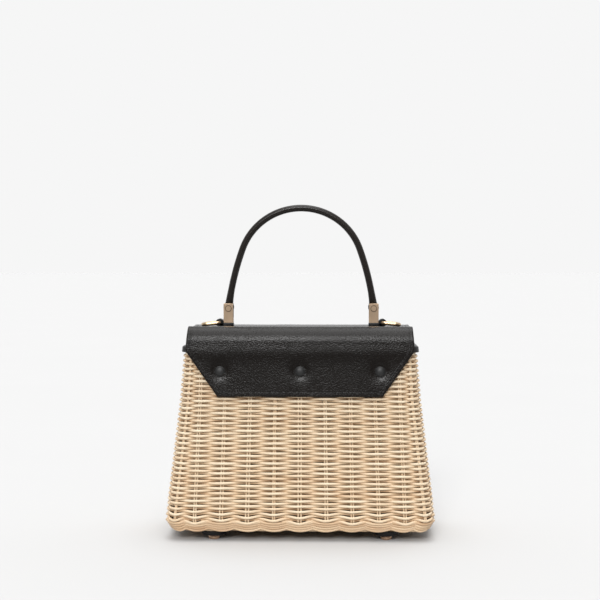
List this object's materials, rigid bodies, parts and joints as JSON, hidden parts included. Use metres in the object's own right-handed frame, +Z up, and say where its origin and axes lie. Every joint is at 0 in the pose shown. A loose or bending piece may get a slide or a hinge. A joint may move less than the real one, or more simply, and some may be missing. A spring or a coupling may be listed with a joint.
{
  "type": "basket box bag",
  "caption": "Woven basket box bag with a black leather lid that folds over the front, an arched top handle, strap rings and metal feet.",
  "frame": {"origin": "on the floor under the middle of the basket", "axes": "+X to the right seen from the front, +Y to the back, where the lid folds, +Z up through the handle"},
  "size_m": [0.28, 0.13, 0.3533],
  "materials": {
    "wicker": "natural split willow, matt",
    "black_leather": "pebbled, semi-matt",
    "lining_cloth": "cotton twill",
    "board": "fibreboard",
    "moulded_shell": "moulded, matt",
    "cord": "twisted cotton",
    "black_metal": "black enamel, glossy",
    "plain_steel": "plated",
    "pale_gold": "polished pale gold plate"
  },
  "bodies": {
    "basket_body": {"base_board": "board", "basket": "wicker", "foot_nut_front_left": "plain_steel", "foot_nut_front_right": "plain_steel", "foot_nut_rear_left": "plain_steel", "foot_nut_rear_right": "plain_steel", "foot_pad_front_left": "black_leather", "foot_pad_front_right": "black_leather", "foot_pad_rear_left": "black_leather", "foot_pad_rear_right": "black_leather", "foot_stud_front_left": "pale_gold", "foot_stud_front_right": "pale_gold", "foot_stud_rear_left": "pale_gold", "foot_stud_rear_right": "pale_gold", "lining": "lining_cloth", "panel_stud_centre": "black_metal", "panel_stud_left": "black_metal", "panel_stud_right": "black_metal", "rear_panel": "black_leather", "rim_binding": "black_leather", "snap_base": "plain_steel", "snap_nut": "plain_steel", "stud_nut_centre": "plain_steel", "stud_nut_left": "plain_steel", "stud_nut_right": "plain_steel"},
    "lid": {"lid_cover": "black_leather", "lid_shell": "moulded_shell", "lid_lining": "lining_cloth", "snap_plate": "plain_steel", "handle": "black_leather", "handle_core": "cord", "base_plate_left": "black_metal", "base_plate_right": "black_metal", "bracket_screw_left_inner": "plain_steel", "bracket_screw_left_outer": "plain_steel", "bracket_screw_right_inner": "plain_steel", "bracket_screw_right_outer": "plain_steel", "handle_bracket_left": "pale_gold", "handle_bracket_right": "pale_gold", "handle_pin_left": "pale_gold", "handle_pin_right": "pale_gold"},
    "ring_right": {"strap_ring_right": "pale_gold"},
    "ring_left": {"strap_ring_left": "pale_gold"}
  },
  "joints": [
    {"name": "lid_fold", "type": "hinge", "parent": "basket_body", "child": "lid", "pos_m": [0, 0.05171, 0.2045], "axis": [-1, 0, 0], "range_deg": [0, 110]},
    {"name": "ring_swing_right", "type": "hinge", "parent": "lid", "child": "ring_right", "pos_m": [0.0878, 0, 0.2255], "axis": [0, -1, 0], "range_deg": [0, 95]},
    {"name": "ring_swing_left", "type": "hinge", "parent": "lid", "child": "ring_left", "pos_m": [-0.0878, 0, 0.2255], "axis": [0, 1, 0], "range_deg": [0, 95]}
  ]
}
